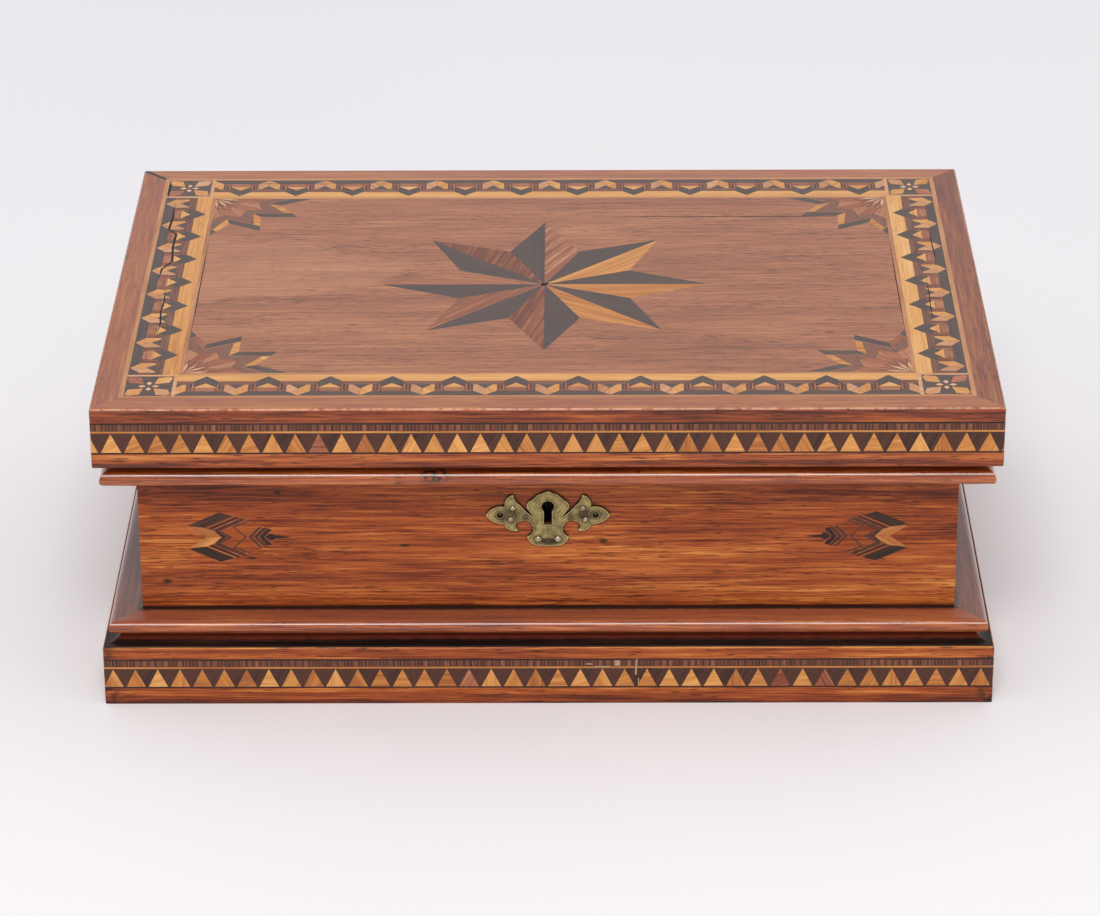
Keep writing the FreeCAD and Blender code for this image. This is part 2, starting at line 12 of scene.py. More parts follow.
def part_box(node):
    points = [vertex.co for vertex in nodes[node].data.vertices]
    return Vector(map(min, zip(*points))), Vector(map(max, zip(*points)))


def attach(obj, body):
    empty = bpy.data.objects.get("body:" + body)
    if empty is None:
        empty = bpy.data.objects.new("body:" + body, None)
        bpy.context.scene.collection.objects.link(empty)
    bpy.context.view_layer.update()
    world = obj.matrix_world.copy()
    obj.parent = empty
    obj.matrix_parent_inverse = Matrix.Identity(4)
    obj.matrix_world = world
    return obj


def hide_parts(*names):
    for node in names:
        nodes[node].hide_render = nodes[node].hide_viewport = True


# The looks of an inlaid mahogany box: woods, brass, and every tile of its marquetry.
# Marquetry is drawn in millimetres and turned into metres when its mesh is made.
MM = 0.001

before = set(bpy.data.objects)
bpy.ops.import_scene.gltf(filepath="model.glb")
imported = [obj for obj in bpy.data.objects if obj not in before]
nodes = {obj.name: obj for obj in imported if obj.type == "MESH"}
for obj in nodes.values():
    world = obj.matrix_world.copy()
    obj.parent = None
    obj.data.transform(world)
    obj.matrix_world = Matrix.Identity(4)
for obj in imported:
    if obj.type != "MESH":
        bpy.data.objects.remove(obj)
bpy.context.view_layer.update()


def mm_box(node):
    """The lowest and highest corner of a CAD node, in millimetres."""
    low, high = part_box(node)
    return low / MM, high / MM


# ---- camera, floor and light ----------------------------------------------------------
CAMERA_AT = (0.00965, -1.6868, 0.8448)
CAMERA_DOWN = math.radians(25.25)
CAMERA_YAW = math.radians(0.317)
CAMERA_ROLL = math.radians(-0.258)
LENS = 144.9
WARM = (1.0, 0.98, 0.96)


def make_camera():
    data = bpy.data.cameras.new("camera")
    data.sensor_width = 36
    data.lens = LENS
    data.clip_start = 0.05
    camera = bpy.data.objects.new("camera", data)
    camera.matrix_world = (Matrix.Translation(CAMERA_AT)
                           @ Matrix.Rotation(CAMERA_YAW, 4, "Z")
                           @ Matrix.Rotation(math.pi / 2 - CAMERA_DOWN, 4, "X")
                           @ Matrix.Rotation(CAMERA_ROLL, 4, "Z"))
    bpy.context.scene.collection.objects.link(camera)
    bpy.context.scene.camera = camera


def area_light(name, at, towards, size, power, colour):
    data = bpy.data.lights.new(name, "AREA")
    data.shape = "RECTANGLE"
    data.size, data.size_y = size
    data.energy = power
    data.color = colour
    light = bpy.data.objects.new(name, data)
    light.location = at
    light.rotation_euler = (Vector(at) - Vector(towards)).to_track_quat("Z", "Y").to_euler()
    bpy.context.scene.collection.objects.link(light)


def make_light():
    world = bpy.data.worlds.new("studio")
    world.use_nodes = True
    background = world.node_tree.nodes["Background"]
    background.inputs["Color"].default_value = (0.97, 0.965, 1.0, 1.0)
    background.inputs["Strength"].default_value = 0.7
    bpy.context.scene.world = world
    area_light("overhead", (0, 0.2, 3.0), (0, 0, 0.1), (2.6, 2.0), 6, WARM)
    area_light("front", (-0.1, -2.35, 2.75), (0, 0, 0.05), (1.4, 1.1), 31, WARM)
    area_light("strip", (-0.1, -2.25, 2.65), (0, 0, 0.05), (1.4, 0.7), 25, WARM)
    bpy.context.scene.view_settings.view_transform = "Standard"


# ---- short calls for shader nodes -----------------------------------------------------
def srgb(red, green, blue):
    """A screen colour from 0 to 255 as the linear colour that a shader uses."""
    def linear(value):
        value /= 255
        return value / 12.92 if value <= 0.04045 else ((value + 0.055) / 1.055) ** 2.4
    return linear(red), linear(green), linear(blue), 1.0


class Shader:
    """A material whose nodes are added by short calls. A value that is a socket gets linked."""

    def __init__(self, name):
        self.material = bpy.data.materials.new(name)
        self.material.use_nodes = True
        self.nodes = self.material.node_tree.nodes
        self.surface = self.nodes["Principled BSDF"]

    def feed(self, socket, value):
        if isinstance(value, bpy.types.NodeSocket):
            self.material.node_tree.links.new(value, socket)
        else:
            socket.default_value = value

    def add(self, kind, values, out=0, **settings):
        node = self.nodes.new("ShaderNode" + kind)
        for name, value in settings.items():
            setattr(node, name, value)
        for key, value in values.items():
            self.feed(node.inputs[key], value)
        return node.outputs[out]

    def math(self, operation, *values):
        return self.add("Math", dict(enumerate(values)), operation=operation)

    def times(self, one, other):
        return self.math("MULTIPLY", one, other)

    def scaled(self, vector, factor):
        return self.add("VectorMath", {0: vector, 3: factor}, operation="SCALE")

    def plus(self, one, other):
        return self.add("VectorMath", {0: one, 1: other}, operation="ADD")

    def dot(self, one, other):
        return self.add("VectorMath", {0: one, 1: other}, out="Value", operation="DOT_PRODUCT")

    def noise(self, vector, scale, detail=2.0, roughness=0.5, distortion=0.0):
        values = {"Vector": vector, "Scale": scale, "Detail": detail, "Roughness": roughness,
                  "Distortion": distortion}
        return self.add("TexNoise", values)

    def step(self, value, low, high):
        """0 below low, 1 above high, and smooth between them."""
        return self.add("MapRange", {0: value, 1: low, 2: high}, interpolation_type="SMOOTHSTEP")

    def mix(self, share, one, other):
        return self.add("Mix", {0: share, 6: one, 7: other}, out=2, data_type="RGBA")

    def ramp(self, value, stops):
        output = self.add("ValToRGB", {0: value})
        elements = output.node.color_ramp.elements
        while len(elements) < len(stops):
            elements.new(0.5)
        for element, (position, colour) in zip(elements, stops):
            element.position = position
            element.color = colour
        return output

    def attribute(self, name, out):
        return self.add("Attribute", {}, out=out, attribute_name=name)

    def millimetres(self):
        """The place on the object, in millimetres."""
        return self.scaled(self.add("TexCoord", {}, out="Object"), 1 / MM)

    def axes(self, vector):
        """The vector's three parts, by name."""
        return {axis: self.add("SeparateXYZ", {0: vector}, out=axis) for axis in "XYZ"}

    def crevice(self, reach, inside=False):
        """0 in the open and 1 deep in a corner, or on an edge when it is looked for from the inside."""
        lit = self.add("AmbientOcclusion", {"Distance": reach}, out="AO", samples=6, inside=inside)
        return self.math("SUBTRACT", 1.0, lit)

    def bump(self, height, strength, depth):
        return self.add("Bump", {"Strength": strength, "Distance": depth, "Height": height})

    def finish(self, **values):
        for name, value in values.items():
            self.feed(self.surface.inputs[name.replace("_", " ")], value)
        return self.material


# ---- woods ----------------------------------------------------------------------------
def even_stops(*colours):
    """A ramp's stops, evenly spread over the middle of its range."""
    last = len(colours) - 1
    return [(0.15 + 0.7 * number / last, srgb(*colour)) for number, colour in enumerate(colours)]


MAHOGANY = even_stops((76, 28, 10), (120, 50, 18), (154, 72, 28), (180, 98, 40), (208, 136, 66))
LID_MAHOGANY = even_stops((98, 54, 34), (136, 79, 49), (163, 100, 65), (182, 117, 77), (202, 139, 96))
SATINWOOD = even_stops((160, 92, 44), (190, 122, 60), (210, 146, 78), (224, 166, 98), (236, 186, 122))
BOXWOOD = even_stops((160, 100, 62), (188, 130, 86), (206, 150, 106), (220, 168, 126), (232, 186, 146))
TULIPWOOD = even_stops((112, 56, 38), (142, 80, 54), (166, 100, 70), (186, 120, 86), (204, 140, 108))
ROSEWOOD = even_stops((84, 42, 28), (112, 60, 40), (138, 80, 54), (158, 98, 68), (178, 118, 84))
WALNUT = even_stops((52, 26, 22), (72, 38, 30), (92, 52, 40), (110, 68, 52), (130, 86, 68))
EBONY = even_stops((44, 31, 26), (55, 40, 34), (66, 49, 42), (78, 58, 49), (94, 72, 58))
BLACKENED = even_stops((18, 10, 8), (30, 18, 15), (42, 26, 21), (56, 34, 27), (80, 48, 36))
PINE = even_stops((150, 98, 54), (172, 120, 72), (190, 140, 90), (202, 156, 106), (214, 172, 124))


def wood(name, stops, axis=None, bands=0.95, figure=0.6, fibres=0.9, pores=0.7, pore_size=1.0,
         gloss=0.36, coat=0.1, specular=0.2, tone=0.0, levels=None, dirt_and_shade=0.0, marks=None, shiny=None):
    """Wood whose grain runs along an axis, or along the mesh's own "grain" where the axis is None.

    levels, as (height, tone) pairs, makes lighter and darker lines along a rail. marks draws
    single faults and some painted light and shade, and is called with the shader, the place in millimetres
    and the colour. The darkening in corners and joints is painted shade.
    """
    shader = Shader(name)
    spot = shader.millimetres()
    place = shader.plus(spot, shader.scaled((310.0, 170.0, 90.0), shader.attribute("shift", "Fac")))
    grain = axis if axis else shader.attribute("grain", "Vector")
    run = shader.dot(place, grain)

    def drawn_out(times):
        """The place, with everything on it drawn out so many times along the grain."""
        return shader.plus(place, shader.scaled(grain, shader.times(run, 1 / times - 1)))

    broad = shader.noise(drawn_out(6), 0.05, 2.0, 0.5, 0.7)
    lines = shader.noise(drawn_out(32), 0.55, 4.0, 0.62, 0.25)
    fibre = shader.noise(drawn_out(40), 1.9, 2.0)
    shade = shader.math("MULTIPLY_ADD", broad, figure, 0.5 - figure / 2 + tone)
    shade = shader.math("MULTIPLY_ADD", lines, bands, shade)
    shade = shader.math("MULTIPLY_ADD", fibre, fibres, shade)
    shade = shader.math("SUBTRACT", shade, (bands + fibres) / 2)
    shade = shader.math("ADD", shade, shader.attribute("tone", "Fac"))
    if levels:
        shade = shader.math("ADD", shade, by_height(shader, spot, levels))
    colour = shader.ramp(shade, stops)

    # open pores: short dark dashes, thicker in some zones than in others
    dashes = shader.noise(drawn_out(14), 1.8 / pore_size, 1.0, 0.4)
    zone = shader.noise(drawn_out(4), 0.09, 1.0)
    limit = shader.math("MULTIPLY_ADD", zone, -0.26, 0.75)
    pore = shader.step(shader.math("SUBTRACT", dashes, limit), 0.0, 0.07)
    deep = tuple(0.45 * part for part in stops[0][1][:3]) + (1.0,)
    colour = shader.mix(shader.times(pore, pores), colour, deep)
    if marks:
        colour = marks(shader, spot, colour)
    # painted shade: ambient occlusion darkens the wood nearly to black in corners and along joints
    if dirt_and_shade:
        share = shader.times(shader.step(shader.crevice(0.0022), 0.2, 0.52), dirt_and_shade)
        colour = shader.mix(share, colour, (0.008, 0.003, 0.002, 1))

    height = shader.math("MULTIPLY_ADD", fibre, 0.35, shader.times(pore, -0.8))
    waviness = shader.noise(drawn_out(3), 0.16, 1.0)
    height = shader.math("MULTIPLY_ADD", waviness, 1.6, height)
    sheen = shader.math("MULTIPLY_ADD", lines, 0.14, gloss - 0.07)
    shader.finish(Base_Color=colour, Roughness=sheen, Specular_IOR_Level=specular, Coat_Weight=coat,
                  Coat_Roughness=0.16, Normal=shader.bump(height, 0.35, 0.00006))
    if shiny:
        shader.finish(**shiny)
    return shader.material


def by_height(shader, spot, levels):
    """A tone that changes with the height, from (height, tone) pairs."""
    height = shader.add("SeparateXYZ", {0: spot}, out="Z")
    bottom, top = levels[0][0], levels[-1][0]
    share = shader.add("MapRange", {0: height, 1: bottom, 2: top})
    greys = [((z - bottom) / (top - bottom), (0.5 + tone, 0.5 + tone, 0.5 + tone, 1)) for z, tone in levels]
    return shader.math("SUBTRACT", shader.ramp(share, greys), 0.5)


def filling(name, scale, detail, dark, light, roughness):
    """What fills a joint or a crack: dark glue and polish, or nearly black where it is open."""
    shader = Shader(name)
    grey = shader.noise(shader.millimetres(), scale, detail)
    colour = shader.ramp(grey, [(0.3, srgb(*dark)), (0.7, srgb(*light))])
    return shader.finish(Base_Color=colour, Roughness=roughness)


# ---- metals ---------------------------------------------------------------------------
def metal(name, dark, light, grime, metallic, roughness, dirt_and_shade=0.85, reach=1.6, stains=(), edge=None):
    """Old metal: mottled, scratched, and dirty in its corners and at its stains, as (place, size).

    Where an edge colour is given, the edges are painted bright as a painted highlight, with a dark line just
    inside them.
    """
    shader = Shader(name)
    spot = shader.millimetres()
    blotches = shader.noise(spot, 0.25, 4.0, 0.6, 0.4)
    grains = shader.noise(spot, 3.0, 3.0, 0.6)
    share = shader.math("MULTIPLY_ADD", grains, 0.35, shader.times(blotches, 0.85))
    colour = shader.ramp(share, [(0.38, srgb(*dark)), (0.78, srgb(*light))])
    corner = shader.times(shader.step(shader.crevice(reach * MM), 0.06, 0.45), dirt_and_shade)
    colour = shader.mix(corner, colour, srgb(*grime))
    for at, size in stains:
        share = shader.times(near(shader, spot, at, size), shader.step(grains, 0.2, 0.6))
        colour = shader.mix(shader.times(share, 0.8), colour, srgb(*grime))
    if edge:
        # painted highlight: the edges are painted bright, with a dark line just inside them
        rim = shader.crevice(1.1 * MM, inside=True)
        groove = shader.math("SUBTRACT", shader.step(rim, 0.02, 0.16), shader.step(rim, 0.2, 0.34))
        colour = shader.mix(shader.times(groove, 0.6), colour, srgb(*grime))
        colour = shader.mix(shader.times(shader.step(rim, 0.3, 0.5), 0.7), colour, srgb(*edge))
    scratches = shader.noise(shader.add("VectorMath", {0: spot, 1: (0.35, 1.0, 2.2)}, operation="MULTIPLY"),
                             2.2, 5.0, 0.7)
    height = shader.math("MULTIPLY_ADD", scratches, 0.5, blotches)
    wear = shader.math("MULTIPLY_ADD", blotches, 0.3, roughness - 0.15)
    return shader.finish(Base_Color=colour, Metallic=metallic, Roughness=wear,
                         Normal=shader.bump(height, 0.4, 0.0001))


# ---- marquetry ------------------------------------------------------------------------
Tile = namedtuple("Tile", "species points grain tone")
JOINT_LINE = 0.09
SHEET = 0.98        # thickness of the veneers, a hair less than the recess they lie in


def tile(species, points, grain=0.0, tone=0.0):
    """A piece of veneer: its corners, the direction of its grain in degrees, and how light it is."""
    return Tile(species, [Vector(point) for point in points], grain, tone)


def counter_clockwise(points):
    area = sum(a.cross(b) for a, b in zip(points, points[1:] + points[:1]))
    return points if area > 0 else points[::-1]


def grown(points, margin):
    """A counter-clockwise outline with every side moved outwards."""
    made = []
    for before, here, after in zip(points[-1:] + points[:-1], points, points[1:] + points[:1]):
        into, out = (here - before).normalized(), (after - here).normalized()
        normal = Vector((into.y + out.y, -into.x - out.x))
        made.append(here + normal * margin / max(1 + into.dot(out), 0.25))
    return made


def inlay(name, node, body, sheets, tiles, place, cuts=(), joint=JOINT_LINE, jitter=0.07):
    """A closed sheet of tiles in place of a CAD node. Later tiles lie over earlier ones.

    sheets are the outlines of the whole sheet, and place turns a point of the drawing and a
    depth under the surface into a place on the box. cuts are lines where the sheet bends.
    """
    dice = random.Random(name)
    layers = [(None, counter_clockwise([Vector(point) for point in outline])) for outline in sheets]
    for piece in tiles:
        outline = counter_clockwise(piece.points)
        if joint:
            layers.append((tile("glue", outline), grown(outline, joint)))
        layers.append((piece, outline))
    points, faces = [], []
    for _, outline in layers:
        faces.append(list(range(len(points), len(points) + len(outline))))
        points.extend(outline)
    edges = []
    for start, end in cuts:
        edges.append((len(points), len(points) + 1))
        points.extend((Vector(start), Vector(end)))
    flat, _, triangles, _, _, origins = delaunay_2d_cdt(points, edges, faces, 1, 1e-4, True)

    mesh = bmesh.new()
    tone_layer = mesh.faces.layers.float.new("tone")
    shift_layer = mesh.faces.layers.float.new("shift")
    grain_layer = mesh.faces.layers.float_vector.new("grain")
    upper = [mesh.verts.new(place(u, v, 0) * MM) for u, v in flat]
    lower = [mesh.verts.new(place(u, v, SHEET) * MM) for u, v in flat]
    species = sorted({piece.species for piece, _ in layers if piece and piece.species != "hole"})
    looks = {}

    def look_of(number):
        if number not in looks:
            piece, outline = layers[number]
            middle = sum(outline, Vector((0, 0))) / len(outline)
            turn = math.radians(piece.grain)
            ahead = middle + Vector((math.cos(turn), math.sin(turn))) * 0.1
            grain = (place(*ahead, 0) - place(*middle, 0)).normalized()
            looks[number] = (species.index(piece.species), piece.tone + dice.uniform(-jitter, jitter),
                             dice.random(), grain)
        return looks[number]

    def face(corners, look):
        made = mesh.faces.new(corners)
        made.material_index, made[tone_layer], made[shift_layer], made[grain_layer] = look

    rim = {}
    for corners, origin in zip(triangles, origins):
        top = layers[max(origin)][0] if origin and min(origin) < len(sheets) else None
        if top is None or top.species == "hole":
            continue
        look = look_of(max(origin))
        face([upper[i] for i in corners], look)
        face([lower[i] for i in reversed(corners)], look)
        for edge in zip(corners, corners[1:] + corners[:1]):
            if edge[::-1] in rim:
                del rim[edge[::-1]]
            else:
                rim[edge] = look
    for (start, end), look in rim.items():
        face([upper[end], upper[start], lower[start], lower[end]], look)
    bmesh.ops.delete(mesh, geom=[vert for vert in mesh.verts if not vert.link_faces], context="VERTS")
    bmesh.ops.recalc_face_normals(mesh, faces=mesh.faces)
    data = bpy.data.meshes.new(name)
    mesh.to_mesh(data)
    mesh.free()
    for kind in species:
        data.materials.append(SPECIES[kind])
    piece = bpy.data.objects.new(name, data)
    bpy.context.scene.collection.objects.link(piece)
    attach(piece, body)
    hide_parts(node)


def rectangle(left, right, bottom, top):
    return [(left, bottom), (right, bottom), (right, top), (left, top)]


def polar(centre, radius, degrees):
    turn = math.radians(degrees)
    return Vector((centre[0] + radius * math.cos(turn), centre[1] + radius * math.sin(turn)))


def mirrored(tiles, sign_u, sign_v):
    """The tiles mirrored in the drawing's axes where a sign is -1."""
    made = []
    for piece in tiles:
        points = [Vector((point[0] * sign_u, point[1] * sign_v)) for point in piece.points]
        made.append(piece._replace(points=points, grain=piece.grain * sign_u * sign_v))
    return made


def moved(tiles, offset):
    return [piece._replace(points=[point + Vector(offset) for point in piece.points]) for piece in tiles]


# ---- the ribbons round the lid --------------------------------------------------------
RIBBON_WIDTH = 20.0
# half the length, the first chevron's middle, the pitch and the number of chevrons, by side
LONG_RIBBON = (145.6, -134.2, 24.4, 12)
SHORT_RIBBON = (93.6, -74.4, 24.8, 7)


def dark_chevron(at):
    """A dark chevron that points inwards, with a light triangle and a dull foot under it."""
    return moved([
        tile("walnut", rectangle(-5.9, 5.9, 5.6, 11.5), 90, -0.05),
        tile("tulipwood", rectangle(-5.2, -4.6, 5.2, 11.0), 90, 0.1),
        tile("tulipwood", rectangle(4.6, 5.2, 5.2, 11.0), 90, 0.1),
        tile("rosewood", [(-4.4, 7.9), (-3.6, 4.1), (3.6, 4.1), (4.4, 7.9)], 0, 0.18),
        tile("ebony", [(0, 18.3), (-4.6, 13.7), (-4.6, 9.0), (0, 11.9), (4.6, 9.0), (4.6, 13.7)], 90, 0.1),
        tile("satinwood", [(0, 11.8), (-4.5, 7.8), (4.5, 7.8)], 0, 0.08),
    ], (at, 0))


def light_arrow(at):
    """A light arrowhead of two halves that points outwards, with a small dark triangle in it."""
    return moved([
        tile("ebony", rectangle(4.9, 5.4, 4.9, 10.4), 90, 0.2),
        tile("ebony", rectangle(-5.4, -4.9, 4.9, 10.4), 90, 0.2),
        tile("boxwood", [(0, 0.3), (0, 6.7), (-3.1, 10.4), (-4.7, 10.4), (-4.7, 4.3)], 55, -0.08),
        tile("satinwood", [(0, 0.3), (4.7, 4.3), (4.7, 10.4), (3.1, 10.4), (0, 6.7)], 125, -0.02),
        tile("ebony", [(-3.1, 10.4), (0, 6.7), (3.1, 10.4)], 0, 0.15),
    ], (at, 0))


def ribbon(side, half, first, step, count):
    """A ribbon along one side: three lengthwise strips, with chevrons and arrows over them."""
    low, high = mm_box("ribbon_" + side)
    places = {"front": lambda u, v, depth: Vector((u, low.y + v, high.z - depth)),
              "back": lambda u, v, depth: Vector((u, high.y - v, high.z - depth)),
              "left": lambda u, v, depth: Vector((low.x + v, u, high.z - depth)),
              "right": lambda u, v, depth: Vector((high.x - v, u, high.z - depth))}
    tiles = [tile("ebony", rectangle(-half, half, 0, 4.1), 0, 0.1),
             tile("tulipwood", rectangle(-half, half, 4.1, 9.4), 0, -0.2),
             tile("walnut", rectangle(-half, half, 9.4, 13.7), 0, 0.3),
             tile("satinwood", rectangle(-half, half, 13.7, RIBBON_WIDTH), 0, 0.05)]
    for number in range(count):
        tiles += dark_chevron(first + number * step)
    for number in range(count + 1):
        tiles += light_arrow(first + (number - 0.5) * step)
    tiles += RIBBON_CRACKS.get(side, [])
    inlay("ribbon_" + side + "_inlay", "ribbon_" + side, "lid",
          [rectangle(-half, half, 0, RIBBON_WIDTH)], tiles, places[side])


def crack(points, width):
    """An open crack along a line, widest in its middle."""
    left, right = [], []
    for number, here in enumerate(points[1:-1], 1):
        along = (Vector(points[number + 1]) - Vector(points[number - 1])).normalized()
        across = Vector((-along.y, along.x)) * width / 2
        left.append(Vector(here) + across)
        right.append(Vector(here) - across)
    return tile("gap", [points[0]] + right + [points[-1]] + left[::-1])


RIBBON_CRACKS = {
    "left": [crack([(88, 4.2), (70, 4.6), (58, 3.9), (52, 7.5), (38, 7.2), (22, 8.2), (14, 4.5),
                    (2, 4.1)], 0.8),
             crack([(-6, 7.6), (-20, 8.4), (-31, 7.8), (-42, 8.6), (-55, 8.0)], 0.55)],
    "right": [crack([(60, 4.0), (44, 4.3), (28, 4.0), (10, 4.4)], 0.35),
              crack([(4, 9.6), (-12, 9.2), (-30, 9.8), (-44, 9.5)], 0.3)],
    "back": [crack([(-140, 4.2), (-122, 4.0), (-100, 4.3), (-84, 4.1)], 0.25)],
}


# ---- the square blocks between the ribbons --------------------------------------------
def corner_block():
    """A rosette in a dark square, its light edges towards the ribbons; its own middle is (0, 0)."""
    half = RIBBON_WIDTH / 2
    line = 1.6
    middle = (-line / 2, -line / 2)
    tiles = [tile("boxwood", rectangle(-half, half, -half, half), 0, 0.05),
             tile("ebony", rectangle(-half, half - line, -half, half - line), 0, 0.15)]
    for number, species in enumerate(("satinwood", "tulipwood", "satinwood", "boxwood")):
        sign_u, sign_v = ((1, 1), (-1, 1), (-1, -1), (1, -1))[number]
        kite = [tile("walnut", [(9.2, 9.2), (5.0, 9.2), (9.2, 5.0)], 45, 0.3),
                tile(species, [(2.0, 2.0), (7.9, 3.3), (8.9, 7.6), (7.6, 8.9), (3.3, 7.9)], 45, 0.0)]
        tiles += moved(mirrored(kite, sign_u, sign_v), middle)
    for turn in (0, 90, 180, 270):
        petal = [polar(middle, radius, turn + spread)
                 for radius, spread in ((1.0, 0), (2.9, -24), (4.3, 0), (2.9, 24))]
        tiles.append(tile("boxwood", petal, turn, 0.22))
    return tiles


def corner_blocks():
    low, high = mm_box("corner_blocks")
    half = RIBBON_WIDTH / 2
    sheets, tiles = [], []
    for sign_u in (-1, 1):
        for sign_v in (-1, 1):
            at = (sign_u * (high.x - half), sign_v * (high.y - half))
            sheets.append(rectangle(at[0] - half, at[0] + half, at[1] - half, at[1] + half))
            tiles += moved(mirrored(corner_block(), -sign_u, -sign_v), at)
    tiles.append(crack([(low.x + 0.3, 113.5), (low.x + 0.5, 107), (low.x + 0.4, 100),
                        (low.x + 0.7, 93.7)], 0.9))
    inlay("corner_blocks_inlay", "corner_blocks", "lid", sheets, tiles, on_lid)


# ---- the quarter stars in the field's corners -----------------------------------------
FAN_TIP = 42.0
FAN_VALLEY = 29.2
FAN_INNER = 24.0
FAN_DEEP = 19.5
FAN_STEP = 15
FAN_TURNS = (0, 30, 60, 90)
FAN_END = 0.33      # where along a ray's other edge its dark strip ends
ORIGIN = (0.0, 0.0)


def fan_outline():
    points = [Vector(ORIGIN)]
    for step in range(7):
        points.append(polar(ORIGIN, FAN_VALLEY if step % 2 else FAN_TIP, step * FAN_STEP))
    return points


def corner_fan(last):
    """A quarter star that opens up and to the right from (0, 0); last is its outer rays' wood."""
    tiles = [tile("tulipwood", rectangle(-1, FAN_TIP + 1, -1, FAN_TIP + 1), 20, 0.0)]
    for turn in FAN_TURNS:
        tip = polar(ORIGIN, FAN_TIP, turn)
        before, inner_before, deep_before = (polar(ORIGIN, radius, turn - FAN_STEP)
                                             for radius in (FAN_VALLEY, FAN_INNER, FAN_DEEP))
        after, inner_after, deep_after = (polar(ORIGIN, radius, turn + FAN_STEP)
                                          for radius in (FAN_VALLEY, FAN_INNER, FAN_DEEP))
        end = tip.lerp(before, FAN_END)
        root = end.lerp(inner_after, 0.18)
        tiles += [tile("rosewood", [polar(ORIGIN, 23.5, turn), deep_before, polar(ORIGIN, 11, turn - 8),
                                    polar(ORIGIN, 11, turn)], turn - FAN_STEP, 0.32),
                  tile("walnut", [root, inner_before, deep_before, polar(ORIGIN, 24.5, turn)], turn, 0.55),
                  tile("walnut", [end, inner_after, deep_after, polar(ORIGIN, 24.5, turn)], turn, 0.75),
                  tile("boxwood", [end, inner_after, inner_after * 0.974, end * 0.982], turn, -0.2),
                  tile("satinwood" if 0 < turn < 90 else last, [end, before, inner_before, root],
                       turn - 60, -0.08),
                  tile("ebony", [after, tip, end, inner_after], turn + 10, 0.15)]
    for turn in (8, 20, 33, 45, 57, 70, 82):
        stripe = [polar(ORIGIN, radius, turn + spread)
                  for radius, spread in ((7, -2.5), (13, -1.2), (13, 1.2), (7, 2.5))]
        tiles.append(tile("walnut", stripe, turn, 0.4))
    root_arc = [polar(ORIGIN, 8.4, turn) for turn in range(0, 91, FAN_STEP)]
    tiles.append(tile("walnut", [ORIGIN] + root_arc, 45, 0.35))
    for turn in (8, 36, 60, 84):
        petal = [polar(ORIGIN, radius, turn + spread)
                 for radius, spread in ((0.6, 0), (6.4, -7), (10.4, 0), (6.4, 7))]
        tiles.append(tile("boxwood", petal, turn, 0.1))
    return tiles


def field_corners():
    """For each corner of the field, which way its fan opens and where the corner is."""
    high = mm_box("field_veneer")[1]
    return [((sign_u, sign_v), (-sign_u * high.x, -sign_v * high.y))
            for sign_u in (-1, 1) for sign_v in (-1, 1)]


def at_corner(outline, signs, corner):
    return [Vector((corner[0] + signs[0] * point[0], corner[1] + signs[1] * point[1]))
            for point in outline]


def corner_fans():
    sheets, tiles = [], []
    for signs, corner in field_corners():
        sheets.append(at_corner(fan_outline(), signs, corner))
        last = "tulipwood" if corner[1] < 0 else "satinwood"
        tiles += moved(mirrored(corner_fan(last), *signs), corner)
    inlay("corner_fans_inlay", "corner_fans", "lid", sheets, tiles, on_lid, jitter=0.1)


# ---- the star and the field round it --------------------------------------------------
STAR_CENTRE = (-1.6, -3.0)
STAR_TIP = 67.3
STAR_VALLEY = 37.9
RAYS = 8
RAY_TURN = 360 / RAYS
# the lighter half of each ray, counter-clockwise from the right: species, grain from the ray's, tone
STAR_WOODS = (("satinwood", 0, -0.18), ("satinwood", 0, -0.04), ("figured", -28, 0.1),
              ("figured", -60, -0.2), ("rosewood", -12, 0.26), ("rosewood", 4, 0.06),
              ("figured", -14, -0.16), ("satinwood", 12, -0.18))


def star_half(ray, side):
    turn = ray * RAY_TURN
    return [Vector(STAR_CENTRE), polar(STAR_CENTRE, STAR_TIP, turn),
            polar(STAR_CENTRE, STAR_VALLEY, turn + side * RAY_TURN / 2)]


def star_eye():
    """The small hole where the rays' points have broken away."""
    radii = (1.5, 2.1, 1.2, 1.8, 1.3, 2.2, 1.6, 1.1)
    return tile("gap", [polar(STAR_CENTRE, radius, RAY_TURN * ray) for ray, radius in enumerate(radii)])


def star():
    for name, node, slot, side in (("star_ebony_inlay", "star_ebony_halves", "ebony", 1),
                                   ("star_wood_inlay", "star_wood_halves", "satinwood", -1)):
        halves = [star_half(ray, side) for ray in range(RAYS)]
        tiles = []
        for ray, points in enumerate(halves):
            species, turn, tone = ("ebony", 0, 0.1) if side == 1 else STAR_WOODS[ray]
            tiles.append(tile(species, points, ray * RAY_TURN + turn, tone))
        inlay(name, node, "lid", halves, tiles + [star_eye()], on_lid, jitter=0.02)


def star_outline():
    return [polar(STAR_CENTRE, STAR_VALLEY if step % 2 else STAR_TIP, step * RAY_TURN / 2)
            for step in range(2 * RAYS)]


def field():
    low, high = mm_box("field_veneer")
    holes = [tile("hole", at_corner(fan_outline(), *corner)) for corner in field_corners()]
    holes.append(tile("hole", star_outline()))
    behind = [(25, 70.6), (44, 70.9), (58, 70.4), (76, 70.8), (95, 70.3), (110, 70.7), (124, 70.4)]
    left = [(-high.x + 0.1, 52), (-high.x + 0.3, 20), (-high.x + 0.25, -30), (-high.x + 0.1, -62)]
    right = [(high.x - 0.1, 50), (high.x - 0.3, 12), (high.x - 0.25, -24), (high.x - 0.1, -58)]
    branch = [(73, 70.9), (76, 72.6), (79, 74.2)]
    faults = [crack(behind, 0.65), crack(left, 0.4), crack(right, 0.4), crack(branch, 0.3)]
    whole = rectangle(low.x, high.x, low.y, high.y)
    tiles = [tile("veneer", whole, 1.2)] + faults + holes
    inlay("field_inlay", "field_veneer", "lid", [whole], tiles, on_lid,
          joint=0, jitter=0)


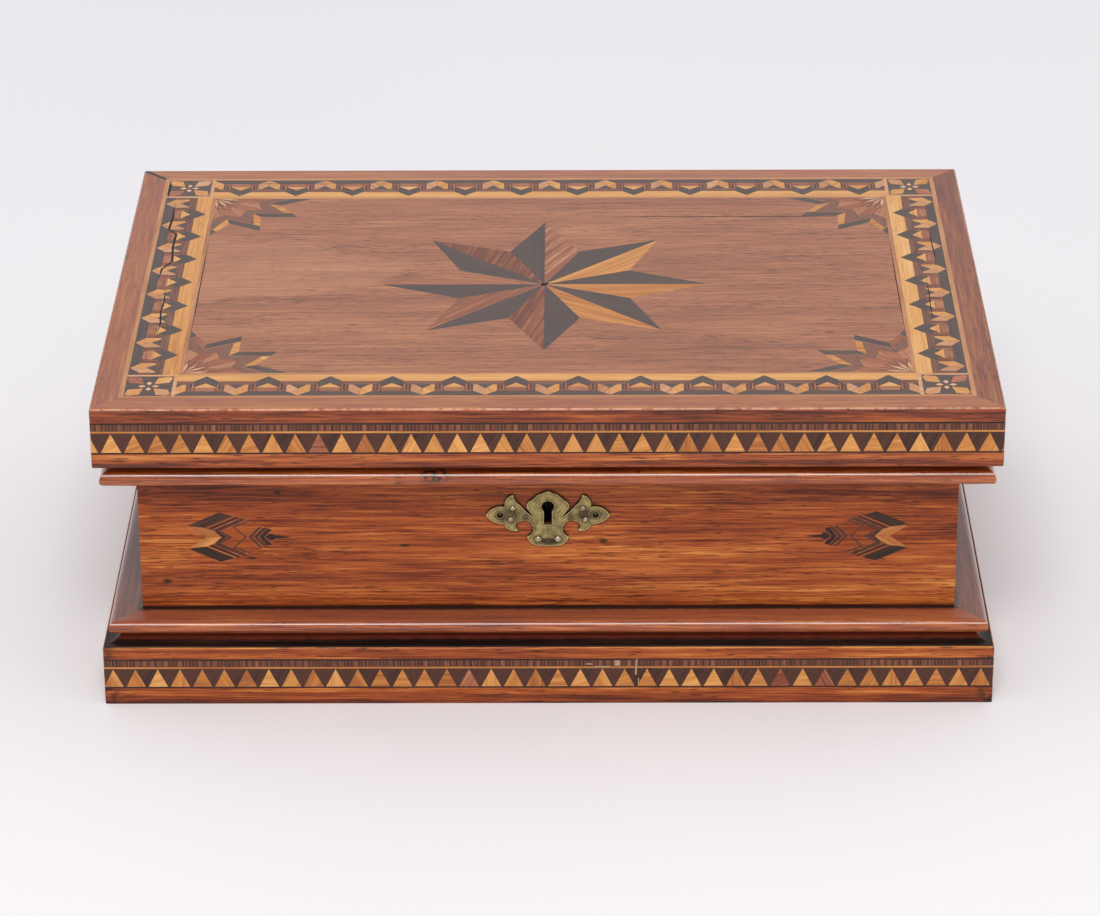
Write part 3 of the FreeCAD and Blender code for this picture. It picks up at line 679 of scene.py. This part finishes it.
def stringing():
    """Light lines on both sides of the ribbons, mitred at the corners."""
    high = mm_box("lid_stringing")[1]
    ribbon_high = mm_box("ribbon_front")[1]
    field_high = mm_box("field_veneer")[1]
    blocks_high = mm_box("corner_blocks")[1]
    sheets, tiles = [], []
    for outer, inner in ((high, blocks_high),
                         (Vector((ribbon_high.x, -ribbon_high.y, 0)), field_high)):
        for turn in (0, 90):
            a, b = (outer.x, outer.y) if turn == 0 else (outer.y, outer.x)
            c, d = (inner.x, inner.y) if turn == 0 else (inner.y, inner.x)
            for sign in (-1, 1):
                points = [(-a, sign * b), (a, sign * b), (c, sign * d), (-c, sign * d)]
                if turn:
                    points = [(v, u) for u, v in points]
                sheets.append(points)
                tiles.append(tile("boxwood", points, turn, -0.16))
    inlay("lid_stringing_inlay", "lid_stringing", "lid", sheets, tiles, on_lid, joint=0.06)


def on_lid(u, v, depth):
    return Vector((u, v, LID_TOP - depth))


LID_TOP = mm_box("field_veneer")[1].z


# ---- the bands round the lid and the plinth -------------------------------------------
CORNER = 1.0        # radius of the worn corners


def band_tiles(half, height, pitch, apex, reds, dice):
    """Dark line, triangles, light line, a row of small blocks, dark line."""
    foot, peak, light, row, top = (share * height for share in (0.052, 0.655, 0.672, 0.732, 0.94))
    tiles = [tile("blackwood", rectangle(-half, half, 0, height), 0, 0.1),
             tile("satinwood", rectangle(-half, half, light, row), 0, -0.18)]
    count = int(half / pitch) + 2
    for number in range(-count, count + 1):
        x = apex + number * pitch
        between = [(x + 0.1, peak), (x + pitch - 0.1, peak), (x + pitch / 2 + 0.5, foot),
                   (x + pitch / 2 - 0.5, foot)]
        tiles.append(tile("blackwood", between, 62, 0.3 + dice.choice((0, 0, 0.15, 0.4))))
    for number in range(-count, count + 1):
        x = apex + number * pitch
        species = "tulipwood" if dice.random() < reds else "satinwood"
        tiles.append(tile(species, [(x - pitch * 0.44, foot), (x + pitch * 0.44, foot), (x, peak)],
                          dice.choice((0, 20, 60, 90, 120)), dice.uniform(-0.3, 0.0)))
    block = 2.8
    for number in range(int(-half / block) - 1, int(half / block) + 2):
        x = number * block + apex
        for left, right, species, tone in ((0, 0.22, "tulipwood", 0.1), (0.22, 1.6, "rosewood", -0.2),
                                           (1.6, 1.82, "tulipwood", 0.0), (1.82, 2.8, "blackwood", 0.45)):
            tiles.append(tile(species, rectangle(x + left, x + right, row + 0.12, top), 90,
                              tone + dice.uniform(-0.15, 0.15)))
    return tiles


def band(node, body, pitch, apexes, reds, extra=()):
    """The four mitred strips of a band, each bent round the worn corners at its ends."""
    low, high = mm_box(node)
    for turn, side in enumerate(("front", "right", "back", "left")):
        half, out = (high.x, high.y) if turn % 2 == 0 else (high.y, high.x)

        def place(u, v, depth, half=half, out=out, turn=turn):
            bend = max(abs(u) - (half - CORNER), 0) / CORNER * math.pi / 4
            x = math.copysign(min(abs(u), half - CORNER) + (CORNER - depth) * math.sin(bend), u)
            y = CORNER - out - (CORNER - depth) * math.cos(bend)
            flat = Matrix.Rotation(turn * math.pi / 2, 2) @ Vector((x, y))
            return Vector((flat.x, flat.y, low.z + v))

        height = high.z - low.z
        dice = random.Random(node + side)
        tiles = band_tiles(half, height, pitch, apexes[turn], reds, dice)
        if side == "front":
            tiles += list(extra)
        bends = [sign * (half - CORNER + share * CORNER) for sign in (-1, 1) for share in (0, 0.33, 0.66)]
        inlay(node + "_" + side, node, body, [rectangle(-half, half, 0, height)], tiles,
              place, [((u, 0), (u, height)) for u in bends], joint=0.13, jitter=0.03)


def scuffs():
    """Pale scratches through the polish of the plinth's band."""
    return [tile("scuffed", rectangle(15.0, 17.6, 10.4, 10.9), 0, 0.0),
            tile("scuffed", rectangle(18.2, 24.5, 9.2, 9.6), 0, 0.0),
            tile("scuffed", rectangle(26.4, 28.6, 9.8, 12.2), 90, -0.1),
            tile("scuffed", [(34.6, 5.8), (35.2, 5.8), (35.5, 12.6), (34.9, 12.8)], 90, 0.0),
            tile("scuffed", rectangle(35.8, 36.2, 1.5, 4.2), 90, -0.1)]


# ---- the figures on the front wall ----------------------------------------------------
MOTIF_OUTLINE = ((-135.6, 0.0), (-143.0, 5.1), (-130.3, 10.9), (-121.0, 8.2), (-110.0, 3.5), (-108.5, 0.8),
                 (-101.8, 0.0))


def motif_half():
    """The upper half of the left figure, above its own middle line."""
    return [
        tile("blackwood", [(-125.2, 4.6), (-118.9, 7.3), (-118.4, 7.0), (-124.4, 4.4),
                           (-119.6, 0), (-120.2, 0)], 25, 0.5),
        tile("blackwood", [(-132.4, 3.2), (-121.4, 8.3), (-119.8, 7.7), (-130.4, 2.8),
                           (-125.2, 0), (-127.0, 0)], 25, 0.45),
        tile("blackwood", [(-134.8, 3.9), (-123.4, 9.0), (-122.4, 8.6), (-133.2, 3.6),
                           (-127.6, 0), (-129.2, 0)], 25, 0.15),
        tile("tawny", [(-136.2, 4.1), (-124.2, 9.3), (-123.6, 9.0), (-134.9, 3.9),
                       (-129.2, 0), (-130.2, 0)], 25, 0.05),
        tile("blackwood", [(-143.2, 5.1), (-130.3, 11.0), (-124.6, 9.4), (-136.2, 4.2)], 22, 0.2),
        tile("satinwood", [(-143.2, 5.0), (-136.0, 4.1), (-132.6, 3.0), (-129.8, 0), (-135.7, 0)],
             150, -0.24),
        tile("blackwood", [(-119.0, 0), (-114.6, 4.4), (-113.8, 4.4), (-117.6, 0)], 45, 0.35),
        tile("blackwood", [(-116.8, 0), (-112.8, 4.2), (-111.8, 4.0), (-115.4, 0)], 45, 0.25),
        tile("blackwood", [(-114.6, 0), (-111.8, 3.6), (-109.6, 3.4), (-112.8, 0)], 45, 0.1),
        tile("blackwood", [(-112.4, 0), (-110.4, 1.4), (-101.5, 0.35), (-101.5, 0)], 0, 0.0),
    ]


def motifs():
    for name, sign in (("left", 1), ("right", -1)):
        node = "front_motif_" + name
        low, high = mm_box(node)
        middle = (low.z + high.z) / 2
        upper = [(sign * x, z) for x, z in MOTIF_OUTLINE]
        lower = [(sign * x, -z) for x, z in MOTIF_OUTLINE[-2:0:-1]]
        tiles = [tile("tawny", rectangle(low.x, high.x, -12, 12), 0, -0.06)]
        tiles += mirrored(motif_half(), sign, 1) + mirrored(motif_half(), sign, -1)
        inlay(node + "_inlay", node, "case", [upper + lower], tiles,
              lambda u, v, depth, face=low.y, level=middle: Vector((u, face + depth, level + v)), joint=0.07)


# ---- faults in single places, and painted light and shade -----------------------------
def near(shader, spot, at, reach):
    """1 at a place and 0 farther from it than the reach, which has a size along each axis."""
    away = shader.add("VectorMath", {0: spot, 1: at}, operation="SUBTRACT")
    away = shader.add("VectorMath", {0: away, 1: reach}, operation="DIVIDE")
    length = shader.add("VectorMath", {0: away}, out="Value", operation="LENGTH")
    return shader.math("SUBTRACT", 1.0, shader.step(length, 0.35, 1.0))


DARK = (0.012, 0.005, 0.003, 1)
BLACK = (0.004, 0.003, 0.003, 1)
ARRIS_HIGHLIGHT = srgb(226, 180, 156)    # painted highlight along the top arris of the lid rails
MITRE_REACH = 12                # how far in from the corner the back left mitre is open


def wall_marks(shader, spot, colour):
    """Small knots in the front wall, and the inside of its keyhole painted black as painted shade."""
    face = mm_box("wall_front")[0].y
    # painted shade: the wall round the inside of the keyhole is painted black
    inside = near(shader, spot, (0, face + 6.0, 76), (7.0, 6.4, 12.0))
    colour = shader.mix(shader.step(inside, 0.0, 0.3), colour, BLACK)
    for x, z, width, height in ((-152, 47.3, 2.6, 1.7), (-107, 86.4, 2.2, 1.2), (22, 64.8, 2.6, 1.5),
                                (-57, 63.0, 3.2, 0.9), (-118, 57.6, 3.0, 0.8)):
        share = near(shader, spot, (x, face, z), (width, 3.0, height))
        colour = shader.mix(shader.times(share, 0.8), colour, DARK)
    return colour


def rail_marks(shader, spot, colour, top_sheen):
    """A lid rail's top painted as a painted sheen, its top arris lightened in patches as a painted
    highlight, and the open mitre at the back left.
    """
    low, high = mm_box("lid_rail_left")
    axes = shader.axes(spot)
    # painted sheen: the top of the rail is mixed halfway towards its side's sheen colour
    above = shader.step(axes["Z"], high.z - 1.1, high.z - 0.1)
    colour = shader.mix(above, colour, shader.mix(0.5, colour, top_sheen))
    # painted highlight: the rounded top arris is lightened in patches
    arris = shader.math("SUBTRACT", shader.step(axes["Z"], high.z - 1.1, high.z - 0.6),
                        shader.step(axes["Z"], high.z - 0.3, high.z - 0.05))
    worn = shader.times(arris, shader.step(shader.noise(spot, 0.4, 3.0), 0.3, 0.6))
    colour = shader.mix(shader.times(worn, 0.55), colour, ARRIS_HIGHLIGHT)
    across = shader.math("ADD", shader.math("ADD", axes["X"], axes["Y"]), -low.x - high.y)
    off_line = shader.math("ABSOLUTE", across)
    wobble = shader.math("MULTIPLY_ADD", shader.noise(spot, 0.5, 2.0), 2.4, 0.1)
    opened = shader.math("LESS_THAN", off_line, wobble)
    behind = shader.math("GREATER_THAN", axes["Y"], high.y - MITRE_REACH)
    left = shader.math("LESS_THAN", axes["X"], low.x + MITRE_REACH)
    share = shader.times(opened, shader.times(behind, left))
    return shader.mix(share, colour, BLACK)


def plinth_marks(shader, spot, colour):
    """Dark stains at the plinth's front corners."""
    low, high = mm_box("plinth_front")
    for x in (low.x, high.x):
        share = near(shader, spot, (x, low.y, 12), (9.0, 9.0, 22.0))
        blotch = shader.step(shader.noise(spot, 0.25, 3.0), 0.35, 0.65)
        colour = shader.mix(shader.times(share, blotch), colour, DARK)
    return colour


def rim_marks(shader, spot, colour):
    """A worn dark patch near the middle of the front rim, and chips along its length."""
    low, high = mm_box("rim_moulding_front")
    worn = near(shader, spot, (-44.0, low.y, high.z - 4.0), (9.0, 7.0, 5.0))
    ragged = shader.step(shader.noise(spot, 0.6, 3.0), 0.38, 0.6)
    colour = shader.mix(shader.times(worn, ragged), colour, DARK)
    chips = shader.step(shader.noise(spot, 0.35, 3.0, 0.7), 0.66, 0.7)
    return shader.mix(shader.times(chips, 0.7), colour, DARK)


def foot_marks(shader, spot, colour, slope_sheen_and_shade):
    """The slope on top of the foot moulding, painted paler in front as a painted sheen and darker at the
    sides as painted shade, and a painted shade along the line where it meets the wall.
    """
    high = mm_box("foot_moulding_front")[1]
    wall = mm_box("wall_front")[0]
    axes = shader.axes(spot)
    # painted sheen and shade: the slope is mixed halfway towards its side's colour
    slope = shader.times(shader.step(axes["Z"], high.z - 1.0, high.z - 0.4), 0.5)
    colour = shader.mix(slope, colour, slope_sheen_and_shade)
    outside = shader.math("MAXIMUM", shader.math("SUBTRACT", shader.math("ABSOLUTE", axes["X"]), -wall.x),
                          shader.math("SUBTRACT", shader.math("ABSOLUTE", axes["Y"]), -wall.y))
    # painted shade: a dark line along the foot of the wall
    ragged = shader.math("MULTIPLY_ADD", shader.noise(spot, 0.3, 2.0), 1.6, outside)
    wall_foot_shade = shader.math("SUBTRACT", 1.0, shader.step(ragged, 1.9, 3.6))
    return shader.mix(shader.times(wall_foot_shade, 0.9), colour, DARK)


def cove_marks(shader, spot, colour):
    """The cove's black stain has worn thin near its top, and the red wood shows."""
    high = mm_box("ebonised_cove_front")[1]
    height = shader.add("SeparateXYZ", {0: spot}, out="Z")
    ragged = shader.math("MULTIPLY_ADD", shader.noise(spot, 0.2, 2.0), 1.0, height)
    share = shader.step(ragged, high.z - 2.9, high.z - 1.6)
    return shader.mix(share, colour, srgb(110, 42, 24))


def field_marks(shader, spot, colour):
    """A broad arched figure in the field's veneer, opening to the left, and its darker zones."""
    cloud = shader.add("TexNoise", {"Vector": spot, "Scale": 0.03, "Detail": 2.0}, out="Color")
    push = shader.add("VectorMath", {0: cloud, 1: (0.5, 0.5, 0.5)}, operation="SUBTRACT")
    bent = shader.plus(spot, shader.scaled(push, 42.0))
    bent_x, bent_y = (shader.add("SeparateXYZ", {0: bent}, out=axis) for axis in "XY")
    across = shader.times(shader.math("SUBTRACT", bent_y, 14.0), 0.055)
    arch = shader.math("MULTIPLY_ADD", shader.times(across, across), 1.0,
                       shader.times(shader.math("ADD", bent_x, 62.0), 0.04))
    inside = shader.math("SUBTRACT", 1.0, shader.step(arch, -0.25, 0.1))
    colour = shader.mix(shader.times(inside, 0.3), colour, srgb(196, 136, 96))
    rings = shader.noise(shader.add("CombineXYZ", {0: arch, 1: 3.0, 2: 5.0}), 2.2, 3.0, 0.6)
    colour = shader.mix(shader.times(shader.step(rings, 0.5, 0.75), 0.3), colour, srgb(122, 66, 42))
    for x, y, width, height, share in ((-75, 22, 22, 12, 0.5), (-68, -18, 26, 10, 0.4),
                                       (20, -48, 60, 16, 0.4), (-92, -12, 20, 5, 0.45)):
        zone = near(shader, bent, (x, y, 130), (width, height, 9))
        drawn_out = shader.add("VectorMath", {0: spot, 1: (0.12, 1.0, 1.0)}, operation="MULTIPLY")
        specks = shader.step(shader.noise(drawn_out, 1.3, 3.0, 0.6), 0.47, 0.66)
        shade = shader.times(shader.times(zone, specks), share)
        colour = shader.mix(shade, colour, srgb(96, 48, 30))
    return colour


# ---- which material goes where --------------------------------------------------------
ALONG_X = (1.0, 0.0, 0.0)
ALONG_Y = (0.0, 1.0, 0.0)
AXES = {"front": ALONG_X, "back": ALONG_X, "left": ALONG_Y, "right": ALONG_Y}

# tones by height in millimetres: the lines left along rails and walls by wear, wax and dirt. Some are
# painted light: a painted highlight lightens the lid rails' top arris and the plinth's top edge, the plinth
# darkens towards its foot, and painted shade darkens the wall at its foot and, as a painted shadow of the
# lid, just under the rim
LID_LEVELS = ((104.4, -0.12), (105.6, -0.12), (107.4, -0.14), (108.1, 0.06), (110.0, 0.1), (110.8, -0.06),
              (124.0, -0.16), (125.2, -0.2), (126.4, -0.14), (127.6, -0.26), (128.8, -0.3), (129.4, 0.04),
              (130.0, 0.1))
PLINTH_LEVELS = ((0.0, -0.2), (1.6, -0.12), (3.4, -0.12), (4.4, 0.04), (6.0, 0.08), (6.9, 0.0), (20.2, 0.0),
                 (21.4, 0.08), (22.8, -0.04), (24.2, 0.0), (24.8, 0.24), (25.1, 0.24))
# painted shade at the wall's foot, and a painted shadow of the lid just under the rim
WALL_LEVELS = ((35.4, -0.5), (36.1, -0.3), (36.8, 0.08), (44.0, 0.07), (62.0, 0.02), (84.0, -0.01),
               (95.0, -0.03))

SPECIES = {
    "ebony": wood("ebony", EBONY, bands=0.5, figure=0.2, fibres=0.6, pores=0.2, gloss=0.42, coat=0.3,
                  specular=0.35),
    "blackwood": wood("blackwood", BLACKENED, bands=0.5, figure=0.3, fibres=0.6, pores=0.3, gloss=0.4),
    "tawny": wood("tawny", MAHOGANY, bands=0.7, figure=0.3, fibres=0.7, pores=0.4),
    "satinwood": wood("satinwood", SATINWOOD, bands=0.7, figure=0.3, fibres=0.5, pores=0.22, gloss=0.38,
                      coat=0.2),
    "boxwood": wood("boxwood", BOXWOOD, bands=0.6, figure=0.25, fibres=0.5, pores=0.2, gloss=0.4, coat=0.2),
    "tulipwood": wood("tulipwood", TULIPWOOD, bands=0.8, figure=0.3, fibres=0.5, pores=0.3, gloss=0.4,
                      coat=0.2),
    "rosewood": wood("rosewood", ROSEWOOD, bands=1.0, figure=0.3, fibres=0.6, pores=0.5, gloss=0.38,
                     coat=0.2),
    "walnut": wood("walnut", WALNUT, bands=0.8, figure=0.3, fibres=0.5, pores=0.4, gloss=0.4, coat=0.2),
    "figured": wood("figured", ROSEWOOD[1:] + [(1.0, srgb(206, 150, 108))], bands=1.4, figure=0.4,
                    fibres=0.6, pores=0.5, tone=0.1, gloss=0.38, coat=0.2),
    "veneer": wood("veneer", LID_MAHOGANY, bands=0.7, figure=0.45, fibres=0.75, pores=0.8, pore_size=0.75,
                   gloss=0.4, coat=0.3, specular=0.35, marks=field_marks),
    "scuffed": wood("scuffed", even_stops((150, 120, 84), (180, 154, 114), (205, 182, 144)), bands=0.4,
                    pores=0.0, gloss=0.7, coat=0.0),
    "glue": filling("glue", 0.8, 3.0, (34, 21, 16), (66, 40, 28), 0.5),
    "gap": filling("gap", 1.5, 2.0, (10, 8, 7), (30, 22, 18), 0.8),
}


def dress(node, material, bevel=0.0):
    """Gives a CAD node its material, and softens its edges by so many millimetres."""
    piece = nodes[node]
    piece.data.materials.clear()
    piece.data.materials.append(material)
    if bevel:
        piece.modifiers.new("weld", "WELD").merge_threshold = 1e-6
        soft = piece.modifiers.new("soft edges", "BEVEL")
        soft.width = bevel * MM
        soft.segments = 2
        soft.limit_method = "ANGLE"
        soft.angle_limit = math.radians(40)
        soft.harden_normals = True


# by side: the lid rails' tops, painted as a painted sheen, and the foot moulding's slopes, painted as a
# sheen in front and behind and darker as painted shade at the sides
TOP_SHEENS = {"front": srgb(156, 103, 77), "left": srgb(150, 100, 78), "right": srgb(106, 73, 64),
            "back": srgb(170, 118, 92)}
SLOPE_SHEEN_AND_SHADE = {"front": srgb(146, 88, 66), "left": srgb(72, 44, 36), "right": srgb(72, 44, 36),
          "back": srgb(120, 70, 52)}
BEVEL = 0.12        # on the edges of rails, walls and hinges
POLISHED = {"Coat_Weight": 1.0, "Coat_IOR": 1.52, "Coat_Roughness": 0.2}


def dress_case_and_lid():
    for side, axis in AXES.items():
        in_front = side == "front"
        rail = wood("lid_rail_" + side, MAHOGANY, axis, gloss=0.36, coat=0.25, specular=0.3,
                    levels=LID_LEVELS, marks=partial(rail_marks, top_sheen=TOP_SHEENS[side]))
        dress("lid_rail_" + side, rail, BEVEL)
        plinth = wood("plinth_" + side, MAHOGANY, axis, coat=0.2, levels=PLINTH_LEVELS,
                      marks=plinth_marks, dirt_and_shade=0.6)
        dress("plinth_" + side, plinth, BEVEL)
        wall = wood("wall_" + side, MAHOGANY, axis, bands=0.8, pores=0.62, pore_size=0.85, gloss=0.34,
                    dirt_and_shade=0.95, levels=WALL_LEVELS, marks=wall_marks if in_front else None)
        dress("wall_" + side, wall, BEVEL)
        rim = wood("rim_" + side, MAHOGANY, axis, pores=0.5, gloss=0.3, dirt_and_shade=0.9,
                   marks=rim_marks if in_front else None, shiny=POLISHED)
        dress("rim_moulding_" + side, rim)
        # painted shade: the side pieces of the foot moulding are made darker than the front and back
        foot = wood("foot_" + side, MAHOGANY, axis, pores=0.5, gloss=0.3, dirt_and_shade=0.8,
                    tone=0.0 if axis == ALONG_X else -0.15,
                    marks=partial(foot_marks, slope_sheen_and_shade=SLOPE_SHEEN_AND_SHADE[side]), shiny=POLISHED)
        dress("foot_moulding_" + side, foot)
        cove = wood("cove_" + side, BLACKENED, axis, tone=-0.12, pores=0.1, gloss=0.4, marks=cove_marks)
        dress("ebonised_cove_" + side, cove)
    for node, name, dirt_and_shade in (("bottom_board", "bottom_pine", 0.6), ("lid_panel", "lid_pine", 0.0)):
        dress(node, wood(name, PINE, ALONG_X, figure=0.7, pores=0.2, gloss=0.6, coat=0.0, dirt_and_shade=dirt_and_shade))


def dress_metal():
    """Brass, blackened iron and steel. The escutcheon is stained round its pins and in its waists."""
    low = mm_box("escutcheon_plate")[0]
    places = ((14.6, 14.0, 4.4, 4.6), (18.9, 13.7, 3.2, 3.0), (3.9, 3.0, 3.0, 2.6),
              (9.0, 12.4, 2.0, 3.4), (0.0, 2.2, 5.0, 2.0))
    stains = [((sign * x, low.y, low.z + z), (width, 6.0, height))
              for sign in (-1, 1) for x, z, width, height in places]
    # the escutcheon's edges get a painted highlight
    brass = metal("aged_brass", (64, 54, 33), (184, 163, 106), (36, 30, 21), 0.75, 0.34, dirt_and_shade=0.95,
                  reach=2.0, stains=stains, edge=(206, 188, 134))
    pins = metal("pin_brass", (110, 94, 70), (206, 190, 156), (20, 15, 10), 0.85, 0.28)
    hinges = metal("hinge_brass", (120, 98, 52), (196, 168, 98), (40, 30, 16), 0.9, 0.36)
    blackened = metal("blackened_iron", (20, 21, 24), (48, 48, 50), (8, 7, 7), 0.8, 0.5)
    steel = metal("steel", (70, 68, 66), (150, 148, 144), (34, 26, 20), 0.95, 0.38)
    dress("escutcheon_plate", brass, 0.55)
    dress("escutcheon_pins", pins)
    for node in nodes:
        if node.startswith("hinge_") and "pin" not in node and "screws" not in node:
            dress(node, hinges, BEVEL)
        elif node.startswith(("hinge_", "lock_s", "link_s", "lock_b")):
            dress(node, steel)
    dress("link_plate", hinges, 0.1)
    dress("lock_case", blackened, 0.1)
    dress("lock_cap", blackened, 0.1)


def make_floor():
    shader = Shader("paper")
    spot = shader.add("TexCoord", {}, out="Object")
    cloud = shader.noise(spot, 1.5, 2.0)
    colour = shader.ramp(cloud, [(0.3, (0.86, 0.85, 0.865, 1)), (0.7, (0.9, 0.89, 0.905, 1))])
    paper = shader.finish(Base_Color=colour, Roughness=0.7, Normal=shader.bump(cloud, 0.05, 0.001))
    data = bpy.data.meshes.new("floor")
    reach = 6.0
    corners = [(-reach, -reach, 0), (reach, -reach, 0), (reach, reach, 0), (-reach, reach, 0)]
    data.from_pydata(corners, [], [(0, 1, 2, 3)])
    data.materials.append(paper)
    floor = bpy.data.objects.new("floor", data)
    bpy.context.scene.collection.objects.link(floor)


make_camera()
make_light()
make_floor()
dress_case_and_lid()
dress_metal()
ribbon("front", *LONG_RIBBON)
ribbon("back", *LONG_RIBBON)
ribbon("left", *SHORT_RIBBON)
ribbon("right", *SHORT_RIBBON)
corner_blocks()
corner_fans()
star()
field()
stringing()
band("lid_banding", "lid", 9.0, (1.0, 2.5, -1.5, 0.0), 0.03)
band("plinth_banding", "case", 8.875, (-5.05, 1.0, 2.0, 3.0), 0.04, scuffs())
motifs()
